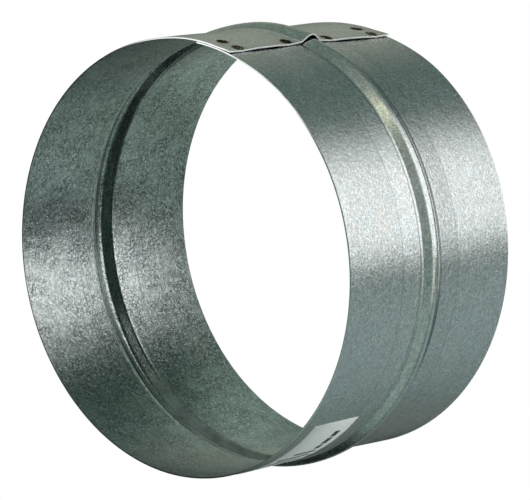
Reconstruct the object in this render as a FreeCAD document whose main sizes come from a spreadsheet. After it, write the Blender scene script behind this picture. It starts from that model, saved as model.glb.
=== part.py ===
import FreeCAD, Part
import math
import os

import Sketcher
from FreeCAD import Placement, Rotation, Vector

# Duct connector: a strip of galvanised sheet with a stop bead pressed along its middle,
# rolled into a ring and spot-welded along a lap seam, with a paper label on its outside.
# +Z runs along the duct and the ring stands on its rear rim, with the origin on its axis.
# The free edge of the lap seam lies in the XZ plane, on the +X side.

# Driving dimensions, in millimetres and degrees
DIMENSIONS = {
    "outer_diameter": 159.2,
    "ring_length": 88.0,
    "sheet_thickness": 0.55,
    "bead_width": 12.1,
    "flank_angle": 33.0,
    "crest_radius": 4.2,
    "foot_radius": 2.0,
    "lap_length": 16.0,
    "lap_clearance": 0.065,
    "bend_angle": 20.0,
    "weld_edge_margin": 2.5,
    "weld_row_pitch": 7.5,
    "weld_rim_margin": 7.0,
    "weld_bead_margin": 5.15,
    "nugget_diameter": 3.6,
    "dimple_diameter": 4.4,
    "dimple_depth": 0.2,
    "label_width": 24.0,
    "label_length": 48.0,
    "label_thickness": 0.1,
    "label_rim_margin": 6.3,
    "label_edge_angle": 243.7,
    "glue_thickness": 0.03,
}

# Sizes that follow from the driving dimensions, as expressions on the sheet's cells.
# The lap's two layers nest with the stated clearance on the bead's sloping flanks,
# and the step between them is shared between the outer flap and the inner tongue.
RADIUS = "sizes.outer_diameter / 2"
LAP_RISE = "(sizes.sheet_thickness + sizes.lap_clearance) / cos(sizes.flank_angle) / 2"
LAP_ANGLE = "sizes.lap_length / (sizes.outer_diameter / 2) * 180 / pi"
FOOT_HEIGHT = "(sizes.ring_length - sizes.bead_width) / 2"
LABEL_ANGLE = "sizes.label_length / (sizes.outer_diameter / 2) * 180 / pi"
DIMPLE_RADIUS = "((sizes.dimple_diameter / 2) ^ 2 + sizes.dimple_depth ^ 2) / (2 * sizes.dimple_depth)"

START, END, CENTRE = 1, 2, 3
ORIGIN_POINT = (-1, 1)
X_AXIS = -1


def make_sheet(doc):
    """Writes the driving dimensions into the document's spreadsheet."""
    sheet = doc.addObject("Spreadsheet::Sheet", "sizes")
    for row, (alias, value) in enumerate(DIMENSIONS.items(), start=1):
        sheet.set(f"A{row}", alias)
        sheet.set(f"B{row}", str(value))
        sheet.setAlias(f"B{row}", alias)
    doc.recompute()
    return sheet


def measure(sheet, expression):
    """The number that an expression on the sheet's cells gives."""
    return float(sheet.evalExpression(expression.replace("sizes.", "")))


def origin_plane(body, role):
    """One of the body's own origin planes."""
    return next(plane for plane in body.Origin.OriginFeatures if plane.Role == role)


def new_sketch(body, name, role):
    """A sketch on one of the body's origin planes."""
    sketch = body.newObject("Sketcher::SketchObject", name)
    sketch.AttachmentSupport = [(origin_plane(body, role), "")]
    sketch.MapMode = "FlatFace"
    return sketch


def bind(sketch, constraint, expression):
    """Adds a dimension to the sketch and ties it to the sheet."""
    index = sketch.addConstraint(constraint)
    sketch.setExpression(f"Constraints[{index}]", expression)


def line(start, end):
    """A straight sketch edge between two points of the sketch."""
    return Part.LineSegment(Vector(*start, 0), Vector(*end, 0))


def arc(centre, radius, first, last):
    """A sketch arc that runs counter-clockwise between two angles in radians."""
    circle = Part.Circle(Vector(*centre, 0), Vector(0, 0, 1), radius)
    return Part.ArcOfCircle(circle, first, last)


def draw_roll_line(body, size):
    """The line that the strip's outer skin is rolled to, seen along the duct.

    From the flap's edge it runs on the flap's circle, bends in to the ring's own circle,
    goes round, and bends in again to the circle of the tongue that lies under the flap.
    """
    sketch = new_sketch(body, "roll_line", "XY_Plane")
    radius, rise = size(RADIUS), size(LAP_RISE)
    lap, bend = math.radians(size(LAP_ANGLE)), math.radians(size("sizes.bend_angle"))
    bend_shift = rise / (2 * (1 - math.cos(bend / 2)))

    def lap_bend(start_radius, first):
        """Two tangent arcs that step in by the lap's rise, one after the other."""
        middle, last = first + bend / 2, first + bend
        tight_centre = (bend_shift * math.cos(first), bend_shift * math.sin(first))
        wide_centre = (-bend_shift * math.cos(last), -bend_shift * math.sin(last))
        tight = arc(tight_centre, start_radius - bend_shift, first, middle)
        wide = arc(wide_centre, start_radius - rise + bend_shift, middle, last)
        return [tight, wide]

    turn = 2 * math.pi
    centre = (0, 0)
    edges = [arc(centre, radius + rise, 0, lap)]
    edges += lap_bend(radius + rise, lap)
    edges += [arc(centre, radius, lap + bend, turn - bend)]
    edges += lap_bend(radius, turn - bend)
    edges += [arc(centre, radius - rise, 0, lap)]
    sketch.addGeometry(edges)

    flap, ring, tongue = 0, 3, 6
    for edge in range(tongue):
        sketch.addConstraint(Sketcher.Constraint("Tangent", edge, END, edge + 1, START))
    for edge in (flap, ring, tongue):
        sketch.addConstraint(Sketcher.Constraint("Coincident", edge, CENTRE, *ORIGIN_POINT))
    sketch.addConstraint(Sketcher.Constraint("PointOnObject", flap, START, X_AXIS))
    for edge, expression in (
        (flap, f"{RADIUS} + {LAP_RISE}"),
        (ring, RADIUS),
        (tongue, f"{RADIUS} - {LAP_RISE}"),
    ):
        bind(sketch, Sketcher.Constraint("Radius", edge, edges[edge].Radius), expression)
    spans = {edge: "sizes.bend_angle / 2" for edge in (1, 2, 4, 5)}
    spans.update({flap: LAP_ANGLE, tongue: LAP_ANGLE})
    spans[ring] = f"360 - 2 * sizes.bend_angle - {LAP_ANGLE}"
    for edge, expression in sorted(spans.items()):
        span = edges[edge].LastParameter - edges[edge].FirstParameter
        bind(sketch, Sketcher.Constraint("Angle", edge, span), expression)
    return sketch


def draw_skin(sketch, size, depth, foot_radius, crest_radius):
    """One skin of the strip's section: wall, bead and wall, from rim to rim.

    depth is how far the skin lies inside the outer one, and the radii are the skin's own.
    Returns the sketch numbers of the skin's first and last edge.
    """
    wall_place = f"{RADIUS} + {LAP_RISE} - {depth}"
    wall_x, length, foot_z = size(wall_place), size("sizes.ring_length"), size(FOOT_HEIGHT)
    foot_r, crest_r = size(foot_radius), size(crest_radius)
    flank = math.radians(size("sizes.flank_angle"))

    # The half of the bead below its crest, in the sketch's x and z
    flank_x = wall_x + foot_r * (1 - math.cos(flank))
    flank_z = foot_z + foot_r * math.sin(flank)
    crest_z = length / 2 - crest_r * math.sin(flank)
    crest_x = flank_x + (crest_z - flank_z) * math.tan(flank)
    crest_centre = (crest_x - crest_r * math.cos(flank), length / 2)

    first = sketch.GeometryCount
    sketch.addGeometry([
        line((wall_x, 0), (wall_x, foot_z)),
        arc((wall_x + foot_r, foot_z), foot_r, math.pi - flank, math.pi),
        line((flank_x, flank_z), (crest_x, crest_z)),
        arc(crest_centre, crest_r, -flank, flank),
        line((crest_x, length - crest_z), (flank_x, length - flank_z)),
        arc((wall_x + foot_r, length - foot_z), foot_r, math.pi, math.pi + flank),
        line((wall_x, length - foot_z), (wall_x, length)),
    ])
    low_wall, low_foot, low_flank, crest, high_flank, high_foot, high_wall = range(first, first + 7)

    for one, one_end, other, other_end in (
        (low_wall, END, low_foot, END),
        (low_foot, START, low_flank, START),
        (low_flank, END, crest, START),
        (crest, END, high_flank, START),
        (high_flank, END, high_foot, END),
        (high_foot, START, high_wall, START),
    ):
        sketch.addConstraint(Sketcher.Constraint("Tangent", one, one_end, other, other_end))
    for edge in (low_wall, high_wall):
        sketch.addConstraint(Sketcher.Constraint("Vertical", edge))
    sketch.addConstraint(Sketcher.Constraint("PointOnObject", low_wall, START, X_AXIS))
    for kind, edge, end, value, expression in (
        ("DistanceX", low_wall, START, wall_x, wall_place),
        ("DistanceX", high_wall, END, wall_x, wall_place),
        ("DistanceY", low_wall, END, foot_z, FOOT_HEIGHT),
        ("DistanceY", high_wall, START, length - foot_z, f"sizes.ring_length - {FOOT_HEIGHT}"),
        ("DistanceY", high_wall, END, length, "sizes.ring_length"),
        ("DistanceY", crest, CENTRE, length / 2, "sizes.ring_length / 2"),
    ):
        bind(sketch, Sketcher.Constraint(kind, *ORIGIN_POINT, edge, end, value), expression)
    for edge, radius, expression in (
        (low_foot, foot_r, foot_radius),
        (high_foot, foot_r, foot_radius),
        (crest, crest_r, crest_radius),
    ):
        bind(sketch, Sketcher.Constraint("Radius", edge, radius), expression)
    bind(sketch, Sketcher.Constraint("Angle", crest, 2 * flank), "2 * sizes.flank_angle")
    return low_wall, high_wall


def draw_section(body, size):
    """The strip's cross-section at the flap's edge: two skins, one sheet thickness apart."""
    sketch = new_sketch(body, "strip_section", "XZ_Plane")
    outer = draw_skin(sketch, size, "0", "sizes.foot_radius", "sizes.crest_radius")
    sheet = "sizes.sheet_thickness"
    inner = draw_skin(sketch, size, sheet, f"sizes.foot_radius + {sheet}", f"sizes.crest_radius - {sheet}")
    for end, outer_edge, inner_edge in ((START, outer[0], inner[0]), (END, outer[1], inner[1])):
        points = [sketch.getPoint(edge, end) for edge in (outer_edge, inner_edge)]
        rim = sketch.addGeometry(Part.LineSegment(*points))
        sketch.addConstraint(Sketcher.Constraint("Coincident", rim, START, outer_edge, end))
        sketch.addConstraint(Sketcher.Constraint("Coincident", rim, END, inner_edge, end))
    return sketch


def weld_stations():
    """Each spot weld as (distance from the flap's edge, height above the rear rim)."""
    first_row = "sizes.weld_edge_margin"
    second_row = f"({first_row} + sizes.weld_row_pitch)"
    rim = "sizes.weld_rim_margin"
    bead = "(sizes.bead_width / 2 + sizes.weld_bead_margin)"
    heights = [rim, f"sizes.ring_length / 2 - {bead}", f"sizes.ring_length / 2 + {bead}"]
    heights.append(f"sizes.ring_length - {rim}")
    stations = [(first_row, height) for height in heights]
    stations += [(second_row, height) for height in (heights[0], heights[-1])]
    return stations


def set_radial(feature, distance, edge_distance, height):
    """Stands a feature's own axis radially on the ring, at a weld's place on the lap."""
    angle = f"({edge_distance} / ({RADIUS}) * 180 / pi)"
    feature.Placement = Placement(Vector(), Rotation(Vector(0, 1, 0), 90))
    feature.setExpression("Placement.Base.x", f"({distance}) * cos({angle})")
    feature.setExpression("Placement.Base.y", f"({distance}) * sin({angle})")
    feature.setExpression("Placement.Base.z", height)
    feature.setExpression(
        "Placement.Rotation", f"rotation(vector(0; 0; 1); {angle}) * rotation(vector(0; 1; 0); 90)"
    )


def weld_lap(body):
    """Joins the flap and the tongue with spot welds.

    Each weld is a nugget from the middle of one layer to the middle of the other,
    under the shallow round dimple that the electrode leaves in the flap.
    """
    for number, (edge_distance, height) in enumerate(weld_stations(), start=1):
        nugget = body.newObject("PartDesign::AdditiveCylinder", f"weld_nugget_{number}")
        nugget.setExpression("Radius", "sizes.nugget_diameter / 2")
        nugget.setExpression("Height", f"2 * {LAP_RISE}")
        tongue_middle = f"{RADIUS} - {LAP_RISE} - sizes.sheet_thickness / 2"
        set_radial(nugget, tongue_middle, edge_distance, height)
    for number, (edge_distance, height) in enumerate(weld_stations(), start=1):
        dimple = body.newObject("PartDesign::SubtractiveSphere", f"weld_dimple_{number}")
        dimple.setExpression("Radius", DIMPLE_RADIUS)
        sphere_middle = f"{RADIUS} + {LAP_RISE} - sizes.dimple_depth + {DIMPLE_RADIUS}"
        set_radial(dimple, sphere_middle, edge_distance, height)


def make_sleeve(doc, size):
    """The ring itself: the strip's section swept along the roll line, then welded."""
    body = doc.addObject("PartDesign::Body", "sleeve")
    body.Label = "sleeve"
    roll_line = draw_roll_line(body, size)
    section = draw_section(body, size)
    doc.recompute()
    strip = body.newObject("PartDesign::AdditivePipe", "rolled_strip")
    strip.Profile = section
    strip.Spine = (roll_line, [f"Edge{number + 1}" for number in range(roll_line.GeometryCount)])
    strip.Mode = "Standard"
    doc.recompute()
    weld_lap(body)
    return body


def make_label(doc, size):
    """The paper label, bent round the outside of the ring near its front rim.

    It runs clockwise from the angle of its upper edge, seen from the front.
    """
    body = doc.addObject("PartDesign::Body", "label")
    body.Label = "label"
    sketch = new_sketch(body, "label_section", "XZ_Plane")
    inside = f"{RADIUS} + sizes.glue_thickness"
    outside = f"{inside} + sizes.label_thickness"
    high = "sizes.ring_length - sizes.label_rim_margin"
    low = f"{high} - sizes.label_width"
    corners = [(inside, low), (outside, low), (outside, high), (inside, high)]
    points = [(size(x), size(z)) for x, z in corners]
    sketch.addGeometry([line(points[side], points[(side + 1) % 4]) for side in range(4)])
    for side in range(4):
        sketch.addConstraint(Sketcher.Constraint("Coincident", side, END, (side + 1) % 4, START))
        sketch.addConstraint(Sketcher.Constraint(("Horizontal", "Vertical")[side % 2], side))
    for corner in (0, 2):
        for kind, axis in (("DistanceX", 0), ("DistanceY", 1)):
            constraint = Sketcher.Constraint(kind, *ORIGIN_POINT, corner, START, points[corner][axis])
            bind(sketch, constraint, corners[corner][axis])
    wrap = body.newObject("PartDesign::Revolution", "label_wrap")
    wrap.Profile = sketch
    wrap.ReferenceAxis = (sketch, ["V_Axis"])
    wrap.setExpression("Angle", LABEL_ANGLE)
    lower_edge = f"sizes.label_edge_angle - {LABEL_ANGLE}"
    body.Placement = Placement(Vector(), Rotation(Vector(0, 0, 1), size(lower_edge)))
    body.setExpression("Placement.Rotation.Angle", lower_edge)
    return body


def check_document(doc, bodies):
    """Stops if any object failed to build or any piece isn't one sound solid."""
    for item in doc.Objects:
        if {"Invalid", "Error"} & set(item.State):
            raise RuntimeError(f"{item.Name} did not build: {item.getStatusString()}")
    for body in bodies:
        shape = body.Shape
        if shape.isNull() or not shape.isValid() or len(shape.Solids) != 1:
            raise RuntimeError(f"{body.Label} is not one valid solid")


def main():
    doc = FreeCAD.newDocument("duct_connector")
    sheet = make_sheet(doc)

    def size(expression):
        return measure(sheet, expression)

    bodies = [make_sleeve(doc, size), make_label(doc, size)]
    doc.recompute()
    check_document(doc, bodies)
    os.makedirs("parts", exist_ok=True)
    for body in bodies:
        body.Shape.exportStep(f"parts/{body.Label}.step")
        print(body.Label, f"{body.Shape.Volume:.1f} mm3")


main()
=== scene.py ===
"""Duct connector of galvanised sheet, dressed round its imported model.

The rolled strip, its lap seam and the paper label are modelled with Blender's own operators,
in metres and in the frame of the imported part: +Z runs along the duct, the rear rim stands on
the floor, and the free edge of the lap seam lies on the +X side.
"""

import logging
import math
from dataclasses import dataclass, field
from enum import Enum, IntEnum
from typing import Any, Optional, Sequence, Union

import bpy
from mathutils import Matrix, Vector


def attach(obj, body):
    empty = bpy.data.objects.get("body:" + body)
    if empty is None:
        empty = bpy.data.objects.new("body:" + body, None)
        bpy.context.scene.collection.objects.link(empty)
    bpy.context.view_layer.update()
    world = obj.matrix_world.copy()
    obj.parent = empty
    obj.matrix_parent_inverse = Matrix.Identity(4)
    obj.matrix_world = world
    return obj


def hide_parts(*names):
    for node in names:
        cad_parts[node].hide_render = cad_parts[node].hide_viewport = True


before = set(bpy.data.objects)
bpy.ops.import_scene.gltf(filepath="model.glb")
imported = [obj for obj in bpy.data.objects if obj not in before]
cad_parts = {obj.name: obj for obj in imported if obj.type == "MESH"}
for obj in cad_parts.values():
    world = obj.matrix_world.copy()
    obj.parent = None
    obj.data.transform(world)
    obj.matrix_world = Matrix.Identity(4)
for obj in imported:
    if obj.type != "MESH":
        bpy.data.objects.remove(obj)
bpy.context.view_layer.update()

log = logging.getLogger("duct_connector")

MM = 0.001
ORIGIN = Vector((0.0, 0.0, 0.0))
DUCT_AXIS = Vector((0.0, 0.0, 1.0))

# Sizes that several classes share, in millimetres and degrees.
SLEEVE_RADIUS = 79.6
SLEEVE_LENGTH = 88.0
SMOOTH_ANGLE = 40.0

Colour = tuple[float, float, float]
Span = tuple[float, float]
Operand = Union["Signal", float]
Tint = Union["Signal", Colour]


class Blend(Enum):
    """How a second colour is laid over a first one."""

    MIX = "MIX"
    MULTIPLY = "MULTIPLY"


class Slot(Enum):
    """The record's material slots."""

    STEEL = "galvanised_steel"
    PAPER = "label_paper"


class Skin(IntEnum):
    """The sleeve's finishes, in the order of its materials."""

    OUTER = 0
    RIM = 1
    INNER = 2
    END = 3


class Signal:
    """An output socket of a node graph, whose operators add Math nodes."""

    def __init__(self, graph: "Graph", socket: bpy.types.NodeSocket) -> None:
        """Keeps the socket and the graph that it belongs to."""
        self.graph = graph
        self.socket = socket

    def __add__(self, other: Operand) -> "Signal":
        """This value plus another."""
        return self.graph.math("ADD", self, other)

    def __radd__(self, other: Operand) -> "Signal":
        """A number plus this value."""
        return self.graph.math("ADD", other, self)

    def __sub__(self, other: Operand) -> "Signal":
        """This value less another."""
        return self.graph.math("SUBTRACT", self, other)

    def __rsub__(self, other: Operand) -> "Signal":
        """A number less this value."""
        return self.graph.math("SUBTRACT", other, self)

    def __mul__(self, other: Operand) -> "Signal":
        """This value times another."""
        return self.graph.math("MULTIPLY", self, other)

    def __rmul__(self, other: Operand) -> "Signal":
        """A number times this value."""
        return self.graph.math("MULTIPLY", other, self)

    def __truediv__(self, other: Operand) -> "Signal":
        """This value over another."""
        return self.graph.math("DIVIDE", self, other)

    def __rtruediv__(self, other: Operand) -> "Signal":
        """A number over this value."""
        return self.graph.math("DIVIDE", other, self)

    def ramp(self, low: float, high: float) -> "Signal":
        """A smooth step of this value.

        Args:
            low: The value at which the step begins.
            high: The value at which the step ends; below low, the step falls.

        Returns:
            A value that goes smoothly between 0 at low and 1 at high.
        """
        rising = low < high
        node = self.graph.node(
            "ShaderNodeMapRange",
            {"interpolation_type": "SMOOTHSTEP", "clamp": True},
            {
                "Value": self,
                "From Min": min(low, high),
                "From Max": max(low, high),
                "To Min": 0.0 if rising else 1.0,
                "To Max": 1.0 if rising else 0.0,
            },
        )
        return self.graph.out(node, "Result")


class Graph:
    """A node tree under work."""

    def __init__(self, tree: bpy.types.NodeTree) -> None:
        """Keeps the tree."""
        self.tree = tree

    def feed(self, socket: bpy.types.NodeSocket, value: Any) -> None:
        """Links a signal to an input socket, or sets the socket to a plain value.

        Args:
            socket: The input socket.
            value: A signal, a number, a colour or a vector.
        """
        if isinstance(value, Signal):
            self.tree.links.new(value.socket, socket)
        elif socket.type == "RGBA" and len(value) == 3:
            socket.default_value = (*value, 1.0)
        else:
            socket.default_value = value

    def node(
        self,
        kind: str,
        settings: Optional[dict[str, Any]] = None,
        sockets: Optional[dict[Union[str, int], Any]] = None,
    ) -> bpy.types.Node:
        """Adds a node.

        Args:
            kind: The node's type.
            settings: Its settings, which are set first; "stops" are a ramp's stops.
            sockets: The values or links of its input sockets.

        Returns:
            The new node.
        """
        node = self.tree.nodes.new(kind)
        for name, value in (settings or {}).items():
            if name == "stops":
                elements = node.color_ramp.elements
                for index, (place, colour) in enumerate(value):
                    stop = elements[index] if index < 2 else elements.new(place)
                    stop.position = place
                    stop.color = (*colour, 1.0)
            else:
                setattr(node, name, value)
        self.wire(node, sockets or {})
        return node

    def wire(self, node: bpy.types.Node, sockets: dict[Union[str, int], Any]) -> None:
        """Sets or links input sockets of a node."""
        for name, value in sockets.items():
            self.feed(node.inputs[name], value)

    def find(self, kind: str) -> bpy.types.Node:
        """The first node of a type."""
        return next(node for node in self.tree.nodes if node.type == kind)

    def show(self, shader: bpy.types.Node) -> None:
        """Links a shader to the material's output."""
        self.feed(self.find("OUTPUT_MATERIAL").inputs["Surface"], self.out(shader))

    def glow(self, colour: Tint, strength: Operand) -> None:
        """Lets the material shine by itself."""
        self.show(self.node("ShaderNodeEmission", sockets={"Color": colour, "Strength": strength}))

    def out(self, node: bpy.types.Node, name: Union[str, int] = 0) -> Signal:
        """One of a node's outputs as a signal."""
        return Signal(self, node.outputs[name])

    def math(self, operation: str, *values: Operand) -> Signal:
        """A Math node on up to three values."""
        sockets = dict(enumerate(values))
        return self.out(self.node("ShaderNodeMath", {"operation": operation}, sockets))

    def mix(self, factor: Operand, first: Tint, second: Tint, blend: Blend = Blend.MIX) -> Signal:
        """Lays one colour over another.

        Args:
            factor: How much of the second colour shows.
            first: The colour underneath.
            second: The colour on top.
            blend: The way in which the two are mixed.

        Returns:
            The mixed colour.
        """
        settings = {"data_type": "RGBA", "blend_type": blend.value, "clamp_factor": True}
        return self.out(self.node("ShaderNodeMix", settings, {0: factor, 6: first, 7: second}), 2)

    def place(self) -> Signal:
        """Where on the piece, in its own coordinates."""
        return self.out(self.node("ShaderNodeTexCoord"), "Object")

    def bump(self, height: Signal, distance: float, strength: float) -> Signal:
        """Lets light fall as on a rough surface.

        Args:
            height: The surface's height, from 0 to about 1.
            distance: What a height of 1 stands for, in metres.
            strength: How much of the roughness shows.

        Returns:
            The surface's normal.
        """
        sockets = {"Strength": strength, "Distance": distance, "Height": height}
        return self.out(self.node("ShaderNodeBump", sockets=sockets), "Normal")

    def parts(self, vector: Signal) -> tuple[Signal, Signal, Signal]:
        """The three parts of a vector."""
        node = self.node("ShaderNodeSeparateXYZ", sockets={0: vector})
        return self.out(node, 0), self.out(node, 1), self.out(node, 2)

    def join(self, x: Operand, y: Operand, z: Operand) -> Signal:
        """A vector from its three parts."""
        return self.out(self.node("ShaderNodeCombineXYZ", sockets={0: x, 1: y, 2: z}))

    def noise(self, place: Signal, size: float, detail: float = 2.0, roughness: float = 0.5) -> Signal:
        """Soft noise.

        Args:
            place: Where on the piece.
            size: The size of its largest spots, in metres.
            detail: How many finer layers it has.
            roughness: How strong the finer layers are.

        Returns:
            A value about 0.5.
        """
        sockets = {"Vector": place, "Scale": 1.0 / size, "Detail": detail, "Roughness": roughness}
        return self.out(self.node("ShaderNodeTexNoise", {"noise_dimensions": "3D"}, sockets), 0)

    def crystals(self, place: Signal, size: float) -> tuple[Signal, Signal, Signal]:
        """Crystal cells, each with three values of its own.

        Args:
            place: Where on the piece.
            size: The size of a cell, in metres.

        Returns:
            Three values between 0 and 1, each the same all over a cell.
        """
        sockets = {"Vector": place, "Scale": 1.0 / size}
        cells = self.node("ShaderNodeTexVoronoi", {"feature": "F1"}, sockets)
        node = self.node("ShaderNodeSeparateColor", sockets={0: self.out(cells, "Color")})
        return self.out(node, 0), self.out(node, 1), self.out(node, 2)


def new_material(name: str) -> tuple[bpy.types.Material, Graph, bpy.types.Node]:
    """Makes a material with one principled shader.

    Args:
        name: The material's name.

    Returns:
        The material, its graph and its shader node.
    """
    material = bpy.data.materials.new(name)
    material.use_nodes = True
    graph = Graph(material.node_tree)
    return material, graph, graph.find("BSDF_PRINCIPLED")


def ease(part: float) -> float:
    """A smooth step from 0 to 1."""
    held = min(1.0, max(0.0, part))
    return held * held * (3.0 - 2.0 * held)


@dataclass
class Bench:
    """A mesh under work, with short forms of the edit-mode operators that shape it."""

    piece: bpy.types.Object

    @classmethod
    def from_point(cls, name: str, start: Vector) -> "Bench":
        """Adds a plane, gathers it to one point and opens it in edit mode.

        Args:
            name: The piece's name.
            start: Where the point goes.

        Returns:
            The bench with the piece on it.
        """
        bpy.ops.object.select_all(action="DESELECT")
        bpy.ops.mesh.primitive_plane_add(size=MM)
        piece = bpy.context.active_object
        piece.name = name
        piece.data.name = name
        bpy.context.tool_settings.mesh_select_mode = (True, False, False)
        bpy.ops.object.mode_set(mode="EDIT")
        bpy.ops.mesh.select_all(action="SELECT")
        bpy.ops.mesh.merge(type="CENTER")
        bpy.ops.transform.translate(value=start)
        return cls(piece)

    def extrude(self, step: Vector, count: int) -> None:
        """Extrudes the selection by equal steps.

        Args:
            step: The whole way.
            count: The number of steps.
        """
        for _ in range(count):
            bpy.ops.mesh.extrude_region_move(TRANSFORM_OT_translate={"value": step / count})

    def spin(self, centre: Vector, axis: Vector, angle: float, steps: int) -> None:
        """Sweeps the selection round an axis, right-handed for a positive angle.

        Args:
            centre: A point on the axis.
            axis: The axis.
            angle: The angle in radians.
            steps: The number of steps.
        """
        bpy.ops.mesh.spin(steps=steps, angle=-angle, center=centre, axis=axis)

    def face_outwards(self) -> None:
        """Merges doubles, makes the normals agree and points them away from the duct's axis."""
        bpy.ops.mesh.select_all(action="SELECT")
        bpy.ops.mesh.remove_doubles(threshold=0.001 * MM)
        bpy.ops.mesh.normals_make_consistent(inside=False)
        bpy.ops.object.mode_set(mode="OBJECT")
        face = self.piece.data.polygons[0]
        if face.normal.dot(face.center - face.center.project(DUCT_AXIS)) < 0.0:
            bpy.ops.object.mode_set(mode="EDIT")
            bpy.ops.mesh.select_all(action="SELECT")
            bpy.ops.mesh.flip_normals()
            bpy.ops.object.mode_set(mode="OBJECT")

    def weigh(self, name: str, weights: dict[int, float]) -> None:
        """Makes a vertex group.

        Args:
            name: The group's name.
            weights: The weight of each point in it.
        """
        group = self.piece.vertex_groups.new(name=name)
        for index, weight in weights.items():
            group.add([index], weight, "REPLACE")

    def modify(self, kind: str, **settings: Any) -> None:
        """Adds a modifier and applies it.

        Args:
            kind: The modifier's type.
            settings: Its settings.
        """
        bpy.context.view_layer.objects.active = self.piece
        modifier = self.piece.modifiers.new(kind.lower(), kind)
        for name, value in settings.items():
            setattr(modifier, name, value)
        bpy.ops.object.modifier_apply(modifier=modifier.name)

    def smooth(self, angle: float) -> None:
        """Shades the piece smooth, up to an angle in degrees between its faces."""
        bpy.ops.object.select_all(action="DESELECT")
        self.piece.select_set(True)
        bpy.context.view_layer.objects.active = self.piece
        bpy.ops.object.shade_smooth_by_angle(angle=math.radians(angle))


@dataclass
class Pen:
    """A drawing point in the XZ plane, with its heading from +Z towards +X in radians."""

    bench: Bench
    place: Vector
    heading: float = 0.0

    def run(self, length: float, cuts: int) -> None:
        """Draws a straight line.

        Args:
            length: Its length in metres.
            cuts: The number of edges.
        """
        step = Vector((math.sin(self.heading), 0.0, math.cos(self.heading))) * length
        self.bench.extrude(step, cuts)
        self.place = self.place + step

    def bow(self, radius: float, angle: float, steps: int) -> None:
        """Draws an arc.

        Args:
            radius: Its radius in metres.
            angle: How far it turns outwards, in radians; inwards where negative.
            steps: The number of edges.
        """
        side = math.copysign(radius, angle)
        centre = self.place + side * Vector((math.cos(self.heading), 0.0, -math.sin(self.heading)))
        self.bench.spin(centre, Vector((0.0, 1.0, 0.0)), angle, steps)
        self.heading += angle
        self.place = centre - side * Vector((math.cos(self.heading), 0.0, -math.sin(self.heading)))


@dataclass(frozen=True)
class SpotWeld:
    """A spot weld: its place from the flap's edge and the rear rim in mm, and its scorch."""

    along: float
    height: float
    scorch: float


@dataclass(frozen=True)
class FlatSpot:
    """A place where the rolled sheet stays short of round. Sizes in millimetres and degrees.

    It fades over its spread round the ring and over its reach along it.
    """

    depth: float
    angle: float
    spread: float
    height: float
    reach: float

    def weight(self, angle: float, height: float) -> float:
        """How far the sheet falls short at a place, in millimetres."""
        turn = (angle - self.angle + 180.0) % 360.0 - 180.0
        rise = height - self.height
        return self.depth * math.exp(-((turn / self.spread) ** 2) - (rise / self.reach) ** 2)


WELDS = (
    SpotWeld(2.5, 7.0, 0.85),
    SpotWeld(2.5, 32.8, 1.0),
    SpotWeld(2.5, 55.2, 1.0),
    SpotWeld(2.5, 81.0, 0.9),
    SpotWeld(10.0, 7.0, 0.95),
    SpotWeld(10.0, 81.0, 1.0),
)

FLAT_SPOTS = (
    FlatSpot(2.2, 14.0, 28.0, -5.0, 38.0),
    FlatSpot(1.8, 40.0, 22.0, 40.0, 24.0),
    FlatSpot(0.65, -150.0, 40.0, 40.0, 30.0),
)


def flatten(bench: Bench) -> None:
    """Lets a piece follow the flat spots of the ring, which thin rolled sheet has.

    Args:
        bench: The bench, with the piece on it.
    """
    weights = {}
    for vertex in bench.piece.data.vertices:
        angle = math.degrees(math.atan2(vertex.co.y, vertex.co.x))
        weights[vertex.index] = sum(spot.weight(angle, vertex.co.z / MM) for spot in FLAT_SPOTS)
    deepest = max(weights.values())
    bench.weigh("flat_spot", {index: weight / deepest for index, weight in weights.items()})
    bench.modify("DISPLACE", vertex_group="flat_spot", strength=-deepest * MM, mid_level=0.0)


@dataclass(frozen=True)
class SheetMap:
    """Where a point lies on the rolled sheet, in metres, and the noise that its marks share."""

    place: Signal
    along: Signal
    height: Signal
    off: Signal
    behind: Signal
    spangle: tuple[Signal, Signal, Signal]
    patch: tuple[Signal, Signal, Signal]
    grain: Signal
    worm: Signal
    mottle: Signal
    cloud: Signal
    streak: Signal


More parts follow.
